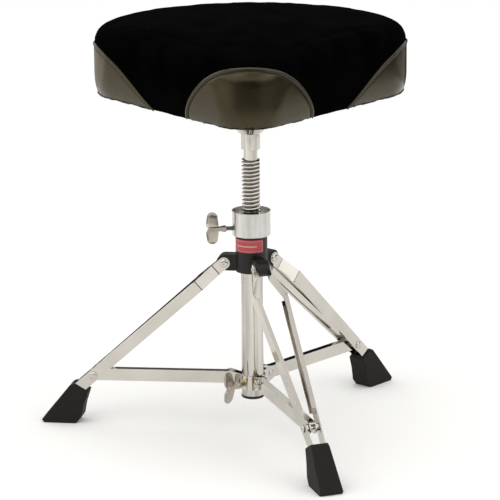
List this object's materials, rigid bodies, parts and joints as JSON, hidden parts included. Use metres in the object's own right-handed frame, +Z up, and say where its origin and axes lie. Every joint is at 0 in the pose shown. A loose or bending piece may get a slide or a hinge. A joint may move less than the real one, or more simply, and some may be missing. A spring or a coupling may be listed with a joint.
{
  "type": "drum throne",
  "caption": "Height-adjustable drum throne: saddle seat on a threaded spindle, clamped in a folding double-braced tripod with rubber feet.",
  "frame": {"origin": "bottom centre of the whole object's box, on the floor; the column's axis stands beside it", "axes": "+Z up along the column, -Y towards the nose of the seat and the front leg, +X to the sitter's left"},
  "size_m": [0.4806, 0.4908, 0.5375],
  "materials": {
    "chrome": "polished chrome plate",
    "zinc_steel": "zinc plated",
    "satin_aluminium": "satin turned",
    "brass": "plain turned brass",
    "black_nylon": "moulded, fine grain",
    "white_nylon": "natural nylon",
    "black_rubber": "moulded rubber, matt",
    "red_badge": "gloss print, blank",
    "black_velour": "short-pile plush",
    "brown_black_vinyl": "grained vinyl, semi-gloss",
    "foam": "cut polyurethane foam",
    "plywood": "raw plywood",
    "dust_cloth": "non-woven cloth"
  },
  "bodies": {
    "base": {"base_tube": "chrome", "tube_end_cap": "black_nylon", "hub": "black_nylon", "hub_badge": "red_badge", "hub_pin": "zinc_steel", "spindle_nut": "zinc_steel", "lock_collar": "satin_aluminium", "lock_pad": "brass", "leg_right_pivot_rivet": "chrome", "leg_left_pivot_rivet": "chrome", "leg_front_pivot_rivet": "chrome"},
    "lock_screw": {"lock_wing_screw": "chrome"},
    "spindle_guide": {"spindle_guide": "white_nylon"},
    "seat": {"seat_foam": "foam", "seat_cover_top": "black_velour", "seat_patch_front": "brown_black_vinyl", "seat_patch_left": "brown_black_vinyl", "seat_patch_right": "brown_black_vinyl", "seat_board": "plywood", "seat_dust_cover": "dust_cloth", "seat_plate": "chrome", "seat_plate_bolts": "zinc_steel", "seat_tee_nuts": "zinc_steel", "seat_socket": "chrome", "socket_set_screw": "zinc_steel", "spindle": "chrome", "spindle_circlip": "zinc_steel"},
    "sleeve": {"sleeve_back": "chrome", "sleeve_left": "chrome", "sleeve_right": "chrome", "sleeve_rivets": "chrome", "sleeve_bush": "brass"},
    "sleeve_screw": {"sleeve_wing_screw": "chrome"},
    "leg_right": {"leg_right_strip_a": "chrome", "leg_right_strip_b": "chrome", "leg_right_knuckle_rivets": "chrome", "leg_right_foot": "black_rubber"},
    "brace_right": {"brace_right": "chrome", "brace_right_end_pin": "chrome"},
    "leg_left": {"leg_left_strip_a": "chrome", "leg_left_strip_b": "chrome", "leg_left_knuckle_rivets": "chrome", "leg_left_foot": "black_rubber"},
    "brace_left": {"brace_left": "chrome", "brace_left_end_pin": "chrome"},
    "leg_front": {"leg_front_strip_a": "chrome", "leg_front_strip_b": "chrome", "leg_front_knuckle_rivets": "chrome", "leg_front_foot": "black_rubber"},
    "brace_front": {"brace_front": "chrome", "brace_front_end_pin": "chrome"}
  },
  "joints": [
    {"name": "seat_height", "type": "slide", "parent": "base", "child": "spindle_guide", "axis": [0, 0, 1], "range_m": [-0.065, 0.105]},
    {"name": "seat_spin", "type": "hinge", "parent": "spindle_guide", "child": "seat", "pos_m": [0.03741, 0.02208, 0.1276], "axis": [0, 0, 1], "range_deg": [-4680, 7560]},
    {"name": "lock_screw_turn", "type": "hinge", "parent": "base", "child": "lock_screw", "pos_m": [0.01265, 0.0186, 0.271], "axis": [-0.9903, -0.1392, 0], "range_deg": [0, 720]},
    {"name": "sleeve_slide", "type": "slide", "parent": "base", "child": "sleeve", "axis": [0, 0, 1], "range_m": [0, 0.09737]},
    {"name": "sleeve_screw_turn", "type": "hinge", "parent": "sleeve", "child": "sleeve_screw", "pos_m": [0.02815, 0.01105, 0.0655], "axis": [-0.6428, -0.766, 0], "range_deg": [0, 720]},
    {"name": "leg_right_fold", "type": "hinge", "parent": "base", "child": "leg_right", "pos_m": [0.05939, 0.04828, 0.225], "axis": [-0.766, 0.6428, 0], "range_deg": [0, 44.52]},
    {"name": "brace_right_swing", "type": "hinge", "parent": "sleeve", "child": "brace_right", "pos_m": [0.05669, 0.04506, 0.07], "axis": [-0.766, 0.6428, 0], "range_deg": [0, 83.05]},
    {"name": "leg_left_fold", "type": "hinge", "parent": "base", "child": "leg_left", "pos_m": [0.00373, 0.02802, 0.225], "axis": [-0.1736, -0.9848, 0], "range_deg": [0, 44.52]},
    {"name": "brace_left_swing", "type": "hinge", "parent": "sleeve", "child": "brace_left", "pos_m": [0.00787, 0.02729, 0.07], "axis": [-0.1736, -0.9848, 0], "range_deg": [0, 83.05]},
    {"name": "leg_front_fold", "type": "hinge", "parent": "base", "child": "leg_front", "pos_m": [0.04911, -0.01006, 0.225], "axis": [0.9397, 0.342, 0], "range_deg": [0, 44.51]},
    {"name": "brace_front_swing", "type": "hinge", "parent": "sleeve", "child": "brace_front", "pos_m": [0.04767, -0.00611, 0.07], "axis": [0.9397, 0.342, 0], "range_deg": [0, 83.05]}
  ],
  "couplings": [
    {"joint": "seat_spin", "follows": "seat_height", "rad_per_m": 1256.6},
    {"joint": "sleeve_slide", "follows": "leg_front_fold", "m_per_rad": 0.12535},
    {"joint": "leg_right_fold", "follows": "leg_front_fold", "ratio": 1},
    {"joint": "brace_right_swing", "follows": "leg_front_fold", "ratio": 1.8649},
    {"joint": "leg_left_fold", "follows": "leg_front_fold", "ratio": 1},
    {"joint": "brace_left_swing", "follows": "leg_front_fold", "ratio": 1.8649},
    {"joint": "brace_front_swing", "follows": "leg_front_fold", "ratio": 1.8649}
  ]
}
